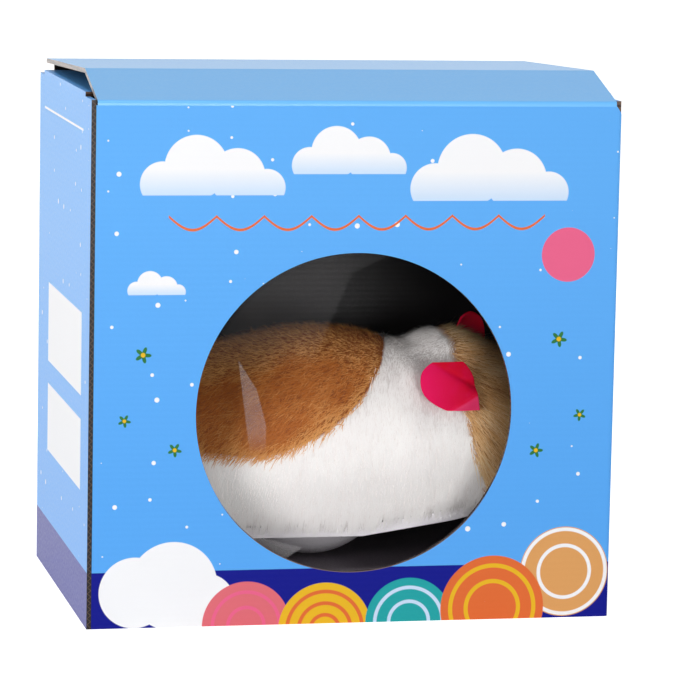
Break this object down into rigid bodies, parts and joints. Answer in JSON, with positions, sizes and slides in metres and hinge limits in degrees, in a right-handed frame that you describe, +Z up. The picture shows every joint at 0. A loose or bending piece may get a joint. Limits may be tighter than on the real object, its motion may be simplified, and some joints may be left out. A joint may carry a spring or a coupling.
{
  "type": "boxed plush ball toy",
  "caption": "Windowed fold-open carton holding a plush hamster that rides on a motor-driven rolling ball, with hinged lid, dust flaps, gear train, power switch and battery door.",
  "frame": {"origin": "middle of the carton's base", "axes": "+X to the right of the carton's front, +Y to its back, +Z up"},
  "size_m": [0.18, 0.128, 0.1847],
  "materials": {
    "carton_board": "printed, satin",
    "black_card": "matte",
    "clear_film": "clear, glossy",
    "white_plush": "long pile",
    "tan_plush": "long pile",
    "brown_plush": "long pile",
    "ear_cloth": "short pile",
    "bead": "gloss",
    "white_plastic": "moulded, satin",
    "housing_plastic": "moulded, matte",
    "gear_plastic": "moulded, satin",
    "steel": "bright",
    "cell_wrap": "satin",
    "board_laminate": "satin",
    "switch_plastic": "matte"
  },
  "bodies": {
    "carton": {"front_panel": "carton_board", "left_panel": "carton_board", "right_panel": "carton_board", "back_panel": "carton_board", "glue_tab": "carton_board", "bottom_panel": "carton_board", "bottom_flap_left": "carton_board", "bottom_flap_right": "carton_board", "window_film": "clear_film", "insert_tray": "black_card"},
    "lid": {"lid_panel": "carton_board"},
    "tuck": {"tuck_flap": "carton_board"},
    "flap_left": {"dust_flap_left": "carton_board"},
    "flap_right": {"dust_flap_right": "carton_board"},
    "toy": {"plush_body": "white_plush", "rear_patch": "tan_plush", "plush_head": "brown_plush", "ear_right": "ear_cloth", "ear_left": "ear_cloth", "eye_right": "bead", "eye_left": "bead", "nose": "bead", "base_plate": "white_plastic", "ball_housing": "housing_plastic", "housing_screws": "steel", "axle": "steel", "gear_chassis": "housing_plastic", "motor_can": "steel", "motor_end_cap": "gear_plastic", "compound_pin": "steel", "battery_box": "housing_plastic", "battery_cells": "cell_wrap", "battery_contacts": "steel", "circuit_board": "board_laminate", "board_screws": "steel", "switch_body": "steel"},
    "ball": {"ball_shell_left": "white_plastic", "ball_shell_right": "white_plastic", "ball_screws": "steel", "output_gear": "gear_plastic"},
    "compound": {"compound_gear": "gear_plastic"},
    "pinion": {"motor_pinion": "gear_plastic", "motor_shaft": "steel"},
    "switch": {"power_switch": "switch_plastic"},
    "door": {"battery_door": "white_plastic"}
  },
  "joints": [
    {"name": "lid_hinge", "type": "hinge", "parent": "carton", "child": "lid", "pos_m": [0, -0.064, 0.1762], "axis": [1, 0, 0], "range_deg": [0, 220]},
    {"name": "tuck_fold", "type": "hinge", "parent": "lid", "child": "tuck", "pos_m": [0, 0.0616, 0.1815], "axis": [1, 0, 0], "range_deg": [0, 70]},
    {"name": "flap_left_fold", "type": "hinge", "parent": "carton", "child": "flap_left", "pos_m": [-0.09, 0, 0.178], "axis": [0, -1, 0], "range_deg": [0, 135]},
    {"name": "flap_right_fold", "type": "hinge", "parent": "carton", "child": "flap_right", "pos_m": [0.09, 0, 0.178], "axis": [0, 1, 0], "range_deg": [0, 135]},
    {"name": "toy_lift", "type": "slide", "parent": "carton", "child": "toy", "axis": [0, 0, 1], "range_m": [0, 0.19]},
    {"name": "ball_spin", "type": "hinge", "parent": "toy", "child": "ball", "pos_m": [-0.002, 0, 0.04], "axis": [0, 1, 0], "continuous": true},
    {"name": "compound_spin", "type": "hinge", "parent": "toy", "child": "compound", "pos_m": [-0.002, 0, 0.0285], "axis": [0, 1, 0], "continuous": true},
    {"name": "pinion_spin", "type": "hinge", "parent": "toy", "child": "pinion", "pos_m": [0.00789, 0, 0.0327], "axis": [0, 1, 0], "continuous": true},
    {"name": "switch_slide", "type": "slide", "parent": "toy", "child": "switch", "axis": [0, 1, 0], "range_m": [0, 0.004]},
    {"name": "door_slide", "type": "slide", "parent": "toy", "child": "door", "axis": [-1, 0, 0], "range_m": [0, 0.018]}
  ],
  "couplings": [
    {"joint": "tuck_fold", "follows": "lid_hinge", "ratio": 0.3},
    {"joint": "flap_left_fold", "follows": "lid_hinge", "ratio": 0.6},
    {"joint": "flap_right_fold", "follows": "lid_hinge", "ratio": 0.6},
    {"joint": "toy_lift", "follows": "lid_hinge", "m_per_rad": 0.049},
    {"joint": "compound_spin", "follows": "ball_spin", "ratio": -3.6},
    {"joint": "pinion_spin", "follows": "ball_spin", "ratio": 13.6}
  ]
}
